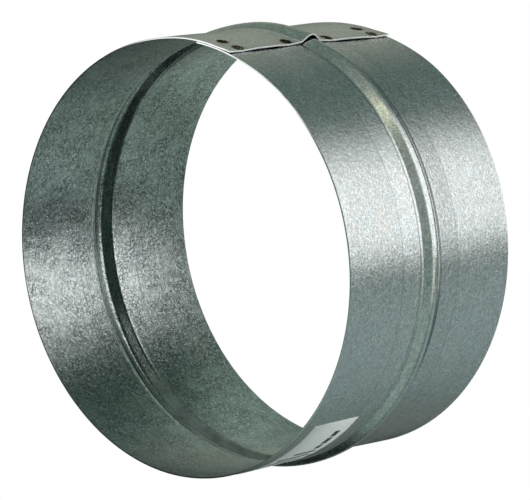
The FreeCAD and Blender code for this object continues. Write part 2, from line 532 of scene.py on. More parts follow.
@dataclass(frozen=True)
class GalvanisedSheet:
    """Zinc-coated steel sheet with fine spangle, rolling streaks and scorched welds.

    The bead's hollow can carry painted shade, dust can lie on one side of the ring, painted
    shade darkens the band behind the bead's crest, and a painted shadow darkens its front foot
    low down on the ring. Darker lines painted at the creases stand for their shade, and a pale
    line painted along the front foot stands for a highlight. Sizes are in metres and angles in
    radians; a span is where a mark begins and where it is full.
    """

    zinc: Colour = (0.68, 0.70, 0.695)
    cool: Colour = (0.60, 0.68, 0.70)
    warm: Colour = (0.70, 0.68, 0.60)
    scorched: Colour = (0.012, 0.011, 0.010)
    rusty: Colour = (0.28, 0.13, 0.05)
    straw: Colour = (0.30, 0.29, 0.05)
    # Pale tint of the painted highlight along the bead's front foot.
    foot_highlight_tint: Colour = (0.78, 0.81, 0.79)
    # Dark green tone of the painted shade in the bead's hollow, also used as dirt in the dust.
    shade_and_dirt_tone: Colour = (0.14, 0.225, 0.185)
    dusty: Colour = (0.64, 0.88, 0.78)
    chalky: Colour = (0.86, 1.0, 0.94)
    # Strength of the painted shade in the bead's hollow.
    groove_shade: float = 0.0
    dust: float = 0.0
    # Strength of the painted shade behind the bead's crest and of the painted shadow at its front
    # foot.
    bead_shade: float = 0.45
    # Strength of the painted highlight along the bead's front foot.
    foot_highlight: float = 0.6
    gloss: float = 0.21
    contrast: float = 1.3
    worms: float = 0.10
    # How much the painted shade lines at the creases darken the zinc.
    crease_shade: float = 0.3
    tilt: float = 0.11 * MM
    radius: float = SLEEVE_RADIUS * MM
    middle: float = SLEEVE_LENGTH / 2.0 * MM
    spangle_size: float = 0.8 * MM
    patch_size: float = 2.6 * MM
    grain_size: float = 0.42 * MM
    worm_size: float = 1.3 * MM
    mottle_size: float = 8.0 * MM
    cloud_size: float = 36.0 * MM
    streak_size: float = 0.6 * MM
    streak_draw: float = 0.22
    roller_gap: float = 15.2 * MM
    foot_gap: float = 6.0 * MM
    line_bend: float = 0.5 * MM
    line_edge: Span = (0.45 * MM, 0.1 * MM)
    # Where the painted highlight grows stronger near the seam.
    seam_highlight: Span = (16.0 * MM, 13.0 * MM)
    foot_side: Span = (0.0, -5.0 * MM)
    # Where round the ring the painted shadow at the bead's front foot lies.
    shadow_side: Span = (math.radians(96.0), math.radians(112.0))
    # Where the painted shade behind the bead's crest lies.
    bead_shade_rear: Span = (6.0 * MM, 5.2 * MM)
    bead_shade_front: Span = (2.0 * MM, 3.4 * MM)
    hollow_edge: Span = (5.2 * MM, 4.0 * MM)
    # Where the painted shade lies on the hollow's flanks, and how it fades towards the dust.
    groove_shade_rear: Span = (1.1 * MM, 2.2 * MM)
    groove_shade_front: Span = (-2.2 * MM, -3.2 * MM)
    groove_shade_turn: Span = (0.3, 0.9)
    dust_angle: float = math.radians(185.0)
    dust_turn: Span = (0.75, 0.35)
    chalk_turn: Span = (0.55, 0.15)
    pressed_edge: Span = (6.2 * MM, 5.2 * MM)
    fleck_size: float = 1.5 * MM
    weld_ragged: float = 3.0 * MM
    scorch_edge: Span = (2.6 * MM, 2.1 * MM)
    halo_edge: Span = (3.6 * MM, 2.2 * MM)

    def material(self, name: str) -> bpy.types.Material:
        """Makes the material.

        Args:
            name: The material's name.

        Returns:
            The material.
        """
        material, graph, shader = new_material(name)
        sheet = self.survey(graph)
        light, foot_gleam = self.handling(graph, sheet)
        colour, dust = self.soil(graph, sheet, self.bare_zinc(graph, sheet, light))
        # Painted highlight: a pale, rough line along the bead's front foot.
        colour = graph.mix(foot_gleam, colour, self.foot_highlight_tint)
        scorch, halo, burnt = self.weld_marks(graph, sheet)
        rough = self.gloss + 0.10 * (sheet.spangle[1] - 0.5) + 0.05 * (sheet.patch[1] - 0.5)
        rough = rough + 0.14 * (sheet.mottle - 0.5) + foot_gleam * 0.5 + dust * 0.4
        normal = self.relief(graph, sheet)
        finish = {
            "Base Color": graph.mix(halo * 0.3, colour, self.straw),
            "Roughness": rough,
            "Metallic": 1.0 - graph.math("MAXIMUM", foot_gleam * 0.7, dust * 0.9),
            "Normal": normal,
        }
        graph.wire(shader, finish)
        charred = {"Base Color": burnt, "Roughness": 0.9, "Specular IOR Level": 0.0, "Normal": normal}
        soot = graph.node("ShaderNodeBsdfPrincipled", sockets=charred)
        layers = {0: scorch, 1: graph.out(shader), 2: graph.out(soot)}
        graph.show(graph.node("ShaderNodeMixShader", sockets=layers))
        return material

    def survey(self, graph: Graph) -> SheetMap:
        """Maps the sheet.

        Args:
            graph: The material's graph.

        Returns:
            Where a point lies, and the noise there.
        """
        place = graph.place()
        x, y, z = graph.parts(place)
        along = (graph.math("ARCTAN2", y * -1.0, x * -1.0) + math.pi) * self.radius
        depth = graph.math("SQRT", x * x + y * y)
        rolled = graph.join(along * self.streak_draw, z, depth)
        return SheetMap(
            place=place,
            along=along,
            height=z,
            off=graph.math("ABSOLUTE", z - self.middle),
            behind=self.middle - z,
            spangle=graph.crystals(place, self.spangle_size),
            patch=graph.crystals(place, self.patch_size),
            grain=graph.noise(place, self.grain_size, 1.0, 0.6),
            worm=graph.noise(place, self.worm_size, 1.0, 0.5),
            mottle=graph.noise(place, self.mottle_size, 3.0, 0.6),
            cloud=graph.noise(place, self.cloud_size, 2.0, 0.5),
            streak=graph.noise(rolled, self.streak_size, 2.0, 0.6),
        )

    def handling(self, graph: Graph, sheet: SheetMap) -> tuple[Signal, Signal]:
        """The marks of pressing and rolling, with painted shade, a painted shadow and a painted
        highlight.

        Args:
            graph: The material's graph.
            sheet: The sheet's map.

        Returns:
            How much light the marks and the painted shade leave, and the mask of the painted
            highlight at the bead's front foot.
        """
        behind, worm = sheet.behind, sheet.worm
        furrow = graph.math("ABSOLUTE", worm - 0.5).ramp(0.08, 0.015) * sheet.mottle.ramp(0.3, 0.6)
        light = 1.0 - self.worms * furrow
        # Painted shade: the band just behind the bead's crest is darkened.
        shaded_band = behind.ramp(*self.bead_shade_front) * behind.ramp(*self.bead_shade_rear)
        light = light * (1.0 - self.bead_shade * shaded_band)
        broken = (worm + sheet.streak).ramp(0.8, 1.05)
        # Painted shade: broken darker lines along the creases at the roller gap.
        light = light * (1.0 - self.crease_shade * self.line(graph, sheet, self.roller_gap) * broken)
        # Painted shadow: the bead's front foot is darkened low down on the ring.
        foot = self.line(graph, sheet, self.foot_gap) * behind.ramp(*self.foot_side)
        low = (sheet.along / self.radius).ramp(*self.shadow_side)
        light = light * (1.0 - self.bead_shade * low * foot)
        # Painted highlight: a pale line along the front foot, strongest near the seam and kept out of
        # the painted shadow.
        worn = graph.math("MAXIMUM", broken, sheet.along.ramp(*self.seam_highlight))
        return light, foot * worn * self.foot_highlight * (1.0 - 2.0 * self.bead_shade * low)

    def line(self, graph: Graph, sheet: SheetMap, gap: float) -> Signal:
        """Thin lines at one distance on both sides of the bead: the masks of the painted crease shade
        and of the painted shadow and highlight at the front foot.

        Args:
            graph: The material's graph.
            sheet: The sheet's map.
            gap: The lines' distance from the bead's middle, in metres.

        Returns:
            The lines' mask.
        """
        bent = sheet.off - gap + self.line_bend * (sheet.worm - 0.5)
        return graph.math("ABSOLUTE", bent).ramp(*self.line_edge)

    def bare_zinc(self, graph: Graph, sheet: SheetMap, light: Signal) -> Signal:
        """The colour of the zinc before it is soiled.

        Args:
            graph: The material's graph.
            sheet: The sheet's map.
            light: How much light the marks and the painted shade leave.

        Returns:
            The colour.
        """
        shares = (
            (0.16, sheet.spangle[0]),
            (0.06, sheet.patch[0]),
            (0.85, sheet.grain),
            (0.30, sheet.worm),
            (0.25, sheet.streak),
        )
        fine = sum(share * (noise - 0.5) for share, noise in shares)
        gain = 1.0 + fine * self.contrast + 0.22 * (sheet.mottle - 0.5) + 0.12 * (sheet.cloud - 0.5)
        gain = gain * light
        cool = (sheet.mottle + 0.5 * sheet.patch[0]).ramp(0.55, 0.95) * 0.5
        colour = graph.mix(cool, self.zinc, self.cool)
        warm = (sheet.spangle[2] + sheet.cloud).ramp(1.0, 1.5) * 0.3
        colour = graph.mix(warm, colour, self.warm)
        return graph.mix(1.0, colour, graph.join(gain, gain, gain), Blend.MULTIPLY)

    def soil(self, graph: Graph, sheet: SheetMap, colour: Signal) -> tuple[Signal, Signal]:
        """Lays painted shade in the bead's hollow, and the dust, over the zinc.

        Args:
            graph: The material's graph.
            sheet: The sheet's map.
            colour: The colour of the zinc.

        Returns:
            The colour with painted shade and dust laid on, and the mask of the dust.
        """
        hollow = sheet.off.ramp(*self.hollow_edge)
        front = sheet.behind.ramp(*self.groove_shade_front)
        rear = sheet.behind.ramp(*self.groove_shade_rear)
        turn = graph.math("ABSOLUTE", sheet.along / self.radius - self.dust_angle)
        # Painted shade: a dark green tone on the hollow's flanks, weaker on the side where the dust
        # lies.
        groove_shading = hollow * graph.math("MAXIMUM", front, rear) * (0.2 + 0.8 * turn.ramp(*self.groove_shade_turn))
        colour = graph.mix(groove_shading * self.groove_shade, colour, self.shade_and_dirt_tone)
        settled = 0.1 + 0.9 * hollow * rear
        patchy = (sheet.mottle + sheet.cloud).ramp(0.1, 0.9)
        dust = turn.ramp(*self.dust_turn) * settled * patchy * self.dust
        pale = graph.mix(turn.ramp(*self.chalk_turn), self.dusty, self.chalky)
        # The same dark green tone mottles the dust as dirt.
        mottled = graph.mix(sheet.mottle.ramp(0.42, 0.62) * 0.4, pale, self.shade_and_dirt_tone)
        return graph.mix(dust, colour, mottled), dust

    def weld_marks(self, graph: Graph, sheet: SheetMap) -> tuple[Signal, Signal, Signal]:
        """The scorched spots and the tinted rings round them.

        Args:
            graph: The material's graph.
            sheet: The sheet's map.

        Returns:
            The mask of the scorch, the mask of the rings and the colour of the scorch.
        """
        flecks = graph.noise(sheet.place, self.fleck_size, 2.0, 0.6)
        ragged = self.weld_ragged * (flecks - 0.5)
        scorch: Operand = 0.0
        halo: Operand = 0.0
        for weld in WELDS:
            across = sheet.along - weld.along * MM
            up = sheet.height - weld.height * MM
            gap = graph.math("SQRT", across * across + up * up) + ragged
            scorch = graph.math("MAXIMUM", gap.ramp(*self.scorch_edge) * weld.scorch, scorch)
            halo = graph.math("MAXIMUM", gap.ramp(*self.halo_edge), halo)
        burnt = graph.mix(flecks.ramp(0.60, 0.66), self.scorched, self.rusty)
        burnt = graph.mix(flecks.ramp(0.40, 0.34), burnt, self.straw)
        return scorch, halo, burnt

    def relief(self, graph: Graph, sheet: SheetMap) -> Signal:
        """The normal of the zinc's fine relief, which pressing has flattened on the bead.

        Args:
            graph: The material's graph.
            sheet: The sheet's map.

        Returns:
            The normal.
        """
        height = sheet.grain * 0.6 + sheet.streak * 0.2 + sheet.worm * 0.5 + sheet.spangle[0] * 0.25
        height = height * (1.0 - 0.6 * sheet.off.ramp(*self.pressed_edge))
        return graph.bump(height, self.tilt, 1.0)


@dataclass(frozen=True)
class CutEdge:
    """The sheared edge of the sheet: bright bare steel with fine drag lines. Sizes in metres."""

    steel: Colour = (0.95, 0.96, 0.96)
    gloss: float = 0.34
    metal: float = 1.0
    dulling: float = 0.84
    drag_size: float = 0.5 * MM
    spot_size: float = 4.0 * MM
    tilt: float = 0.02 * MM

    def material(self, name: str) -> bpy.types.Material:
        """Makes the material.

        Args:
            name: The material's name.

        Returns:
            The material.
        """
        material, graph, shader = new_material(name)
        place = graph.place()
        drag = graph.noise(place, self.drag_size, 3.0, 0.6)
        spots = graph.noise(place, self.spot_size, 2.0, 0.5)
        worn = (drag * 0.6 + spots * 0.4).ramp(0.35, 0.65)
        dull = tuple(part * self.dulling for part in self.steel)
        finish = {
            "Base Color": graph.mix(worn, dull, self.steel),
            "Roughness": self.gloss + 0.2 * (drag - 0.5),
            "Metallic": self.metal,
            "Normal": graph.bump(drag, self.tilt, 0.3),
        }
        graph.wire(shader, finish)
        return material


@dataclass(frozen=True)
class InkBar:
    """A plain printed bar on the label: its ends along and across the label, in millimetres."""

    along: Span
    across: Span
    wear: float
    blur: float = 0.1
    wear_blur: float = 0.04

    def mask(self, graph: Graph, along: Signal, across: Signal, worn: Signal) -> Signal:
        """Where the bar is printed.

        Args:
            graph: The material's graph; not used.
            along: The way along the label, in metres.
            across: The way across it, in metres.
            worn: Noise that breaks the ink.

        Returns:
            The bar's mask.
        """
        inside: Operand = 1.0
        for way, (low, high) in ((along, self.along), (across, self.across)):
            inside = way.ramp((low - self.blur) * MM, (low + self.blur) * MM) * inside
            inside = way.ramp((high + self.blur) * MM, (high - self.blur) * MM) * inside
        return inside * worn.ramp(self.wear - self.wear_blur, self.wear + self.wear_blur)


@dataclass(frozen=True)
class LabelPaper:
    """Coated label paper with worn plain bars. Sizes in metres."""

    paper: Colour = (0.90, 0.91, 0.90)
    stained: Colour = (0.70, 0.70, 0.66)
    ink: Colour = (0.045, 0.045, 0.05)
    dulling: float = 0.88
    fibre_size: float = 0.5 * MM
    stain_size: float = 9.0 * MM
    wear_size: float = 1.1 * MM
    tilt: float = 0.02 * MM
    bars: Sequence[InkBar] = (
        InkBar((7.0, 11.0), (3.8, 7.0), 0.30),
        InkBar((11.8, 16.4), (3.8, 7.0), 0.30),
        InkBar((17.2, 20.5), (3.8, 7.0), 0.30),
        InkBar((22.0, 24.0), (3.0, 15.0), 0.32),
        InkBar((26.0, 28.0), (2.5, 20.0), 0.32),
        InkBar((30.0, 32.0), (4.0, 21.0), 0.32),
        InkBar((35.0, 43.0), (4.0, 9.0), 0.30),
    )

    def material(self, name: str, radius: float, low: float, angle: float) -> bpy.types.Material:
        """Makes the material.

        Args:
            name: The material's name.
            radius: The radius of the label's face, in metres.
            low: The height of its lower edge, in metres.
            angle: The angle of its first edge round the duct, in radians.

        Returns:
            The material.
        """
        material, graph, shader = new_material(name)
        place = graph.place()
        x, y, z = graph.parts(place)
        turn = graph.math("ARCTAN2", y, x)
        along = graph.math("WRAP", angle - turn, math.tau, 0.0) * radius
        across = z - low
        fibre = graph.noise(place, self.fibre_size, 3.0, 0.65)
        stain = graph.noise(place, self.stain_size, 2.0, 0.5)
        worn = graph.noise(place, self.wear_size, 2.0, 0.6)
        dull = tuple(part * self.dulling for part in self.paper)
        paper = graph.mix(fibre.ramp(0.3, 0.7) * 0.25, self.paper, dull)
        paper = graph.mix(stain.ramp(0.45, 0.75) * 0.2, paper, self.stained)
        printed: Operand = 0.0
        for bar in self.bars:
            printed = graph.math("MAXIMUM", bar.mask(graph, along, across, worn), printed)
        finish = {
            "Base Color": graph.mix(printed, paper, self.ink),
            "Roughness": 0.55 + 0.15 * (fibre - 0.5),
            "Normal": graph.bump(fibre, self.tilt, 0.3),
        }
        graph.wire(shader, finish)
        return material


@dataclass
class Sleeve:
    """The rolled strip: stop bead, lap seam and spot welds. Sizes in millimetres and degrees."""

    radius: float = SLEEVE_RADIUS
    length: float = SLEEVE_LENGTH
    sheet: float = 0.55
    bead_rise: float = 2.8
    flank: float = 33.0
    crest_radius: float = 4.2
    foot_radius: float = 2.0
    shoulder_length: float = 9.0
    shoulder_flare: float = 0.3
    crease_radius: float = 14.0
    rim_band: float = 3.8
    weld_band: float = 6.4
    bead_band: float = 6.9
    lap: float = 16.0
    lap_clearance: float = 0.065
    bend: float = 20.0
    flap_steps: int = 38
    bend_steps: int = 8
    round_steps: int = 206
    tongue_steps: int = 14
    tolerance: float = 0.01
    dimple_radius: float = 2.2
    dimple_depth: float = 0.2
    lip_height: float = 0.05
    lip_gap: float = 0.35
    lip_width: float = 0.8
    edge_lift: float = 0.36
    bead_lift: float = 0.5
    lift_reach: float = 6.5
    weld_hold: float = 4.5
    tongue_sink: float = 0.4
    sink_reach: float = 20.0
    buckle_size: float = 42.0
    buckle_height: float = 0.14
    rollover: float = 0.22
    end_rollover: float = 0.14
    burr: float = 0.1
    end_burr: float = 0.04
    rim_slope: float = 0.25
    rim_facing: float = 0.6
    outer_face: GalvanisedSheet = GalvanisedSheet()
    # The inner face is a darker copy of the zinc, painted shade for the dimmer light inside the ring,
    # with painted shade in the bead's hollow.
    shaded_inner_face: GalvanisedSheet = GalvanisedSheet(
        zinc=(0.46, 0.50, 0.485),
        cool=(0.42, 0.49, 0.49),
        warm=(0.48, 0.48, 0.42),
        groove_shade=0.5,
        dust=1.0,
        bead_shade=0.0,
        gloss=0.14,
        contrast=2.0,
        worms=0.7,
    )
    rim_edge: CutEdge = CutEdge()
    end_edge: CutEdge = CutEdge(gloss=0.5, metal=0.2)
    pieces: list[bpy.types.Object] = field(default_factory=list)

    @property
    def lap_rise(self) -> float:
        """How far the flap stands out from the ring and the tongue stands in, as in the solid."""
        return (self.sheet + self.lap_clearance) / math.cos(math.radians(self.flank)) / 2.0

    @property
    def start(self) -> Vector:
        """Where the section starts: the flap's edge at the rear rim, in metres."""
        return Vector(((self.radius + self.lap_rise) * MM, 0.0, 0.0))

    def draw_section(self, bench: Bench) -> None:
        """Draws the strip's outer skin at the flap's edge, from the rear rim to the front rim.

        The walls flare a little towards the bead. Rows of points lie close where welds are pressed.

        Args:
            bench: The bench, with one point on it at the rear rim.
        """
        pen = Pen(bench, self.start)
        flank = math.radians(self.flank)
        flare = math.asin(self.shoulder_flare / self.shoulder_length)
        crest, foot, crease = self.crest_radius, self.foot_radius, self.crease_radius
        climb = self.bead_rise - self.shoulder_flare
        climb -= crest * (1.0 - math.cos(flank))
        climb -= foot * (math.cos(flare) - math.cos(flank))
        climb -= crease * (1.0 - math.cos(flare))
        slope = climb / math.sin(flank)
        foot_start = self.length / 2.0 - crest * math.sin(flank) - slope * math.cos(flank)
        foot_start -= foot * (math.sin(flank) - math.sin(flare))
        shoulder_start = foot_start - self.shoulder_length * math.cos(flare)
        wall = shoulder_start - crease * math.sin(flare)

        half = [
            (pen.run, (self.rim_band * MM, 3)),
            (pen.run, (self.weld_band * MM, 14)),
            (pen.run, ((wall - self.rim_band - self.weld_band) * MM, 8)),
            (pen.bow, (crease * MM, flare, 3)),
            (pen.run, (self.bead_band * MM, 14)),
            (pen.run, ((self.shoulder_length - self.bead_band) * MM, 3)),
            (pen.bow, (foot * MM, flank - flare, 6)),
            (pen.run, (slope * MM, 5)),
        ]
        for stroke, sizes in half:
            stroke(*sizes)
        pen.bow(crest * MM, -2.0 * flank, 12)
        for stroke, sizes in reversed(half):
            stroke(*sizes)
        radius, height = pen.place.x / MM, pen.place.z / MM
        log.info("section ends at radius %.3f mm, height %.3f mm", radius, height)

    def roll(self, bench: Bench) -> None:
        """Sweeps the section along the roll line of seven tangent arcs.

        Args:
            bench: The bench, with the section on it.
        """
        lap = self.lap / self.radius
        bend = math.radians(self.bend)
        shift = self.lap_rise / (2.0 * (1.0 - math.cos(bend / 2.0))) * MM

        def bend_centre(angle: float, sign: float) -> Vector:
            """The centre of one arc of a lap bend."""
            return Vector((sign * shift * math.cos(angle), sign * shift * math.sin(angle), 0.0))

        arcs = (
            (ORIGIN, lap, self.flap_steps),
            (bend_centre(lap, 1.0), bend / 2.0, self.bend_steps),
            (bend_centre(lap + bend, -1.0), bend / 2.0, self.bend_steps),
            (ORIGIN, math.tau - 2.0 * bend - lap, self.round_steps),
            (bend_centre(-bend, 1.0), bend / 2.0, self.bend_steps),
            (bend_centre(0.0, -1.0), bend / 2.0, self.bend_steps),
            (ORIGIN, lap, self.tongue_steps),
        )
        bpy.ops.mesh.select_all(action="SELECT")
        for centre, angle, steps in arcs:
            bench.spin(centre, DUCT_AXIS, angle, steps)

    def lap_points(self, bench: Bench, on_flap: bool) -> dict[int, tuple[float, float, float]]:
        """The points of the lap's outer or inner layer.

        Args:
            bench: The bench, with the rolled strip on it.
            on_flap: Whether the flap is meant, or the tongue and the sheet that leads to it.

        Returns:
            Each point's way from the flap's edge and its height in millimetres, and how far it
            stands up the bead, from 0 to 1.
        """
        places = {}
        edge: dict[float, float] = {}
        for vertex in bench.piece.data.vertices:
            x, y, z = (part / MM for part in vertex.co)
            radius = math.hypot(x, y)
            along = math.atan2(y, x) * self.radius
            level = round(z, 3)
            places[vertex.index] = (along, level, radius)
            if abs(along) < self.tolerance:
                edge[level] = max(edge.get(level, 0.0), radius)
        foot = self.radius + self.lap_rise
        points = {}
        for index, (along, level, radius) in places.items():
            rise = edge[level] - foot
            outer = along > -self.tolerance and radius - rise > self.radius
            if outer == on_flap and -self.sink_reach < along < self.lap + self.tolerance:
                points[index] = (along, level, min(1.0, max(0.0, rise / self.bead_rise)))
        return points

    def press_welds(self, bench: Bench) -> None:
        """Presses the weld dimples and lets the flap's edge stand off the tongue between them.

        Args:
            bench: The bench, with the rolled strip on it.
        """
        dimples: dict[int, float] = {}
        lips: dict[int, float] = {}
        lifts: dict[int, float] = {}
        for index, (along, height, on_bead) in self.lap_points(bench, True).items():
            held = 1.0
            for weld in WELDS:
                gap = math.hypot(along - weld.along, height - weld.height)
                dip = 1.0 - (gap / self.dimple_radius) ** 2
                lip = 1.0 - ((gap - self.dimple_radius - self.lip_gap) / self.lip_width) ** 2
                dimples[index] = max(dimples.get(index, 0.0), dip)
                lips[index] = max(lips.get(index, 0.0), lip)
                if weld.along < self.lap / 2.0:
                    held *= 1.0 - math.exp(-(((height - weld.height) / self.weld_hold) ** 2))
            lift = self.edge_lift + (self.bead_lift - self.edge_lift) * on_bead
            lifts[index] = lift / self.bead_lift * held * ease(1.0 - along / self.lift_reach)
        sinks = {
            index: on_bead * ease(1.0 + along / self.sink_reach)
            for index, (along, _, on_bead) in self.lap_points(bench, False).items()
        }
        for name, weights, height in (
            ("weld_dimple", dimples, -self.dimple_depth),
            ("weld_lip", lips, self.lip_height),
            ("edge_lift", lifts, self.bead_lift),
            ("tongue_sink", sinks, -self.tongue_sink),
        ):
            bench.weigh(name, {index: weight for index, weight in weights.items() if weight > 0.0})
            bench.modify("DISPLACE", vertex_group=name, strength=height * MM, mid_level=0.0)

    def buckle(self, bench: Bench) -> None:
        """Gives the rolled sheet its slight unevenness.

        Args:
            bench: The bench, with the rolled strip on it.
        """
        texture = bpy.data.textures.new("sheet_buckle", "CLOUDS")
        texture.noise_scale = self.buckle_size * MM
        texture.noise_depth = 1
        bench.modify(
            "DISPLACE",
            texture=texture,
            texture_coords="LOCAL",
            strength=self.buckle_height * MM,
            mid_level=0.5,
        )
        bpy.data.textures.remove(texture)

    def select_corners(self, bench: Bench, outside: bool, at_rim: bool) -> None:
        """Opens the sheet in edit mode with some corners of its cut edges selected.

        Args:
            bench: The bench, with the thick sheet on it.
            outside: Whether the outer corners are meant, or the inner ones.
            at_rim: Whether those at the rims are meant, or those at the strip's ends.
        """
        bpy.context.tool_settings.mesh_select_mode = (False, True, False)
        bpy.ops.object.mode_set(mode="EDIT")
        bpy.ops.mesh.select_all(action="DESELECT")
        bpy.ops.object.mode_set(mode="OBJECT")
        mesh = bench.piece.data
        skins: dict[tuple[int, int], float] = {}
        cuts: set[tuple[int, int]] = set()
        for face in mesh.polygons:
            if face.material_index == Skin.RIM:
                cuts.update(face.edge_keys)
            else:
                away = face.normal.x * face.center.x + face.normal.y * face.center.y
                skins.update((key, away) for key in face.edge_keys)
        for edge in mesh.edges:
            key = edge.key
            first, second = (mesh.vertices[index].co for index in key)
            along_rim = abs(first.z - second.z) < self.rim_slope * (first - second).length
            meant = key in cuts and key in skins and along_rim == at_rim
            edge.select = meant and (skins[key] > 0.0) == outside
        bpy.ops.object.mode_set(mode="EDIT")

    def round_corners(self, bench: Bench) -> None:
        """Rolls the outer corners of the cut edges over, as shears do, and breaks the inner ones.

        Args:
            bench: The bench, with the thick sheet on it.
        """
        for outside, at_rim, width in (
            (True, True, self.rollover),
            (True, False, self.end_rollover),
            (False, True, self.burr),
            (False, False, self.end_burr),
        ):
            self.select_corners(bench, outside, at_rim)
            bpy.ops.mesh.bevel(offset=width * MM, segments=1, affect="EDGES", material=Skin.RIM)
            bpy.ops.object.mode_set(mode="OBJECT")
        for face in bench.piece.data.polygons:
            if face.material_index == Skin.RIM and abs(face.normal.z) < self.rim_facing:
                face.material_index = Skin.END

    def build(self) -> None:
        """Models the strip."""
        bench = Bench.from_point("rolled_sleeve", self.start)
        self.draw_section(bench)
        self.roll(bench)
        bench.face_outwards()
        self.press_welds(bench)
        self.buckle(bench)
        flatten(bench)
        finishes = {
            Skin.OUTER: self.outer_face.material("outer_sheet"),
            Skin.RIM: self.rim_edge.material("rim_edge"),
            Skin.INNER: self.shaded_inner_face.material("shaded_inner_sheet"),
            Skin.END: self.end_edge.material("end_edge"),
        }
        for skin in Skin:
            bench.piece.data.materials.append(finishes[skin])
        bench.modify(
            "SOLIDIFY",
            thickness=self.sheet * MM,
            offset=-1.0,
            use_even_offset=True,
            use_quality_normals=True,
            material_offset=Skin.INNER,
            material_offset_rim=Skin.RIM,
        )
        self.round_corners(bench)
        bench.smooth(SMOOTH_ANGLE)
        self.pieces.append(bench.piece)

    def dress(self) -> None:
        """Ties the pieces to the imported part."""
        for piece in self.pieces:
            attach(piece, "root")
        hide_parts("sleeve")


@dataclass
class Label:
    """The paper label on the outside. Sizes in millimetres and degrees."""

    glue: float = 0.03
    thickness: float = 0.1
    low: float = 57.7
    width: float = 24.0
    length: float = 48.0
    edge_angle: float = 243.7
    cell: float = 1.0
    edge_round: float = 0.02
    corner_angle: float = 50.0
    paper: LabelPaper = field(default_factory=LabelPaper)
    pieces: list[bpy.types.Object] = field(default_factory=list)

    def build(self) -> None:
        """Models the label."""
        angle = math.radians(self.edge_angle)
        radius = (SLEEVE_RADIUS + self.glue + self.thickness) * MM
        low = self.low * MM
        start = Vector((radius * math.cos(angle), radius * math.sin(angle), low))
        bench = Bench.from_point("paper_label", start)
        bench.extrude(DUCT_AXIS * self.width * MM, round(self.width / self.cell))
        bpy.ops.mesh.select_all(action="SELECT")
        bench.spin(ORIGIN, DUCT_AXIS, -self.length / SLEEVE_RADIUS, round(self.length / self.cell))
        bench.face_outwards()
        flatten(bench)
        bench.piece.data.materials.append(self.paper.material("label_paper", radius, low, angle))
        bench.modify("SOLIDIFY", thickness=self.thickness * MM, offset=-1.0, use_even_offset=True)
        bench.modify(
            "BEVEL",
            width=self.edge_round * MM,
            segments=2,
            limit_method="ANGLE",
            angle_limit=math.radians(self.corner_angle),
        )
        bench.smooth(SMOOTH_ANGLE)
        self.pieces.append(bench.piece)

    def dress(self) -> None:
        """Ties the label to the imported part."""
        for piece in self.pieces:
            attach(piece, "root")
        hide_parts("label")


@dataclass(frozen=True)
class Softbox:
    """A light or screen far away round the part, with soft edges. Angles in degrees."""

    colour: Colour
    azimuth: float
    half_width: float
    soft_low: float
    soft_high: float
    elevation: float
    half_height: float
    soft_height: float

    def add(self, graph: Graph, azimuth: Signal, elevation: Signal, light: Tint) -> Signal:
        """Hangs this softbox over the light so far.

        Args:
            graph: The world's graph.
            azimuth: The azimuth of the way looked, in radians.
            elevation: Its elevation, in radians.
            light: The light so far.

        Returns:
            The light with this softbox in it.
        """
        turn = graph.math("WRAP", azimuth - math.radians(self.azimuth), math.pi, -math.pi)
        half = math.radians(self.half_width)
        low, high = math.radians(self.soft_low), math.radians(self.soft_high)
        mask = turn.ramp(-half - low, -half + low) * turn.ramp(half + high, half - high)
        rise = elevation - math.radians(self.elevation)
        half, soft = math.radians(self.half_height), math.radians(self.soft_height)
        mask = mask * rise.ramp(-half - soft, -half + soft) * rise.ramp(half + soft, half - soft)
        return graph.mix(mask, light, self.colour)


@dataclass(frozen=True)
class ReflectorCard:
    """A round card that shows only in the part's reflections. Sizes in millimetres and degrees.

    Its tint changes with the angle round the apex. Near the apex it is dim, and it brightens
    over the fade.
    """

    name: str
    radius: float
    height: float
    tints: Sequence[tuple[float, Colour]]
    centre: Span = (0.0, 0.0)
    apex: Span = (0.0, 0.0)
    dim: float = 1.0
    fade: Span = (0.0, 1.0)
    sides: int = 96

    def lay(self) -> None:
        """Lays the card square to the duct's axis."""
        bpy.ops.object.select_all(action="DESELECT")
        middle = Vector((*self.centre, self.height)) * MM
        bpy.ops.mesh.primitive_circle_add(
            vertices=self.sides, radius=self.radius * MM, fill_type="NGON", location=middle
        )
        card = bpy.context.active_object
        card.name = self.name
        bpy.ops.object.transform_apply(location=True, rotation=True, scale=True)
        material, graph, _ = new_material(self.name)
        x, y, _ = graph.parts(graph.place())
        across = x - self.apex[0] * MM
        up = y - self.apex[1] * MM
        turn = graph.math("ARCTAN2", up, across) / math.tau + 0.5
        gap = graph.math("SQRT", across * across + up * up)
        far = gap.ramp(self.fade[0] * MM, self.fade[1] * MM)
        stops = sorted((angle / 360.0 + 0.5, tint) for angle, tint in self.tints)
        tint = graph.out(graph.node("ShaderNodeValToRGB", {"stops": stops}, {0: turn}))
        graph.glow(tint, self.dim + (1.0 - self.dim) * far)
        card.data.materials.append(material)
        card.visible_camera = False


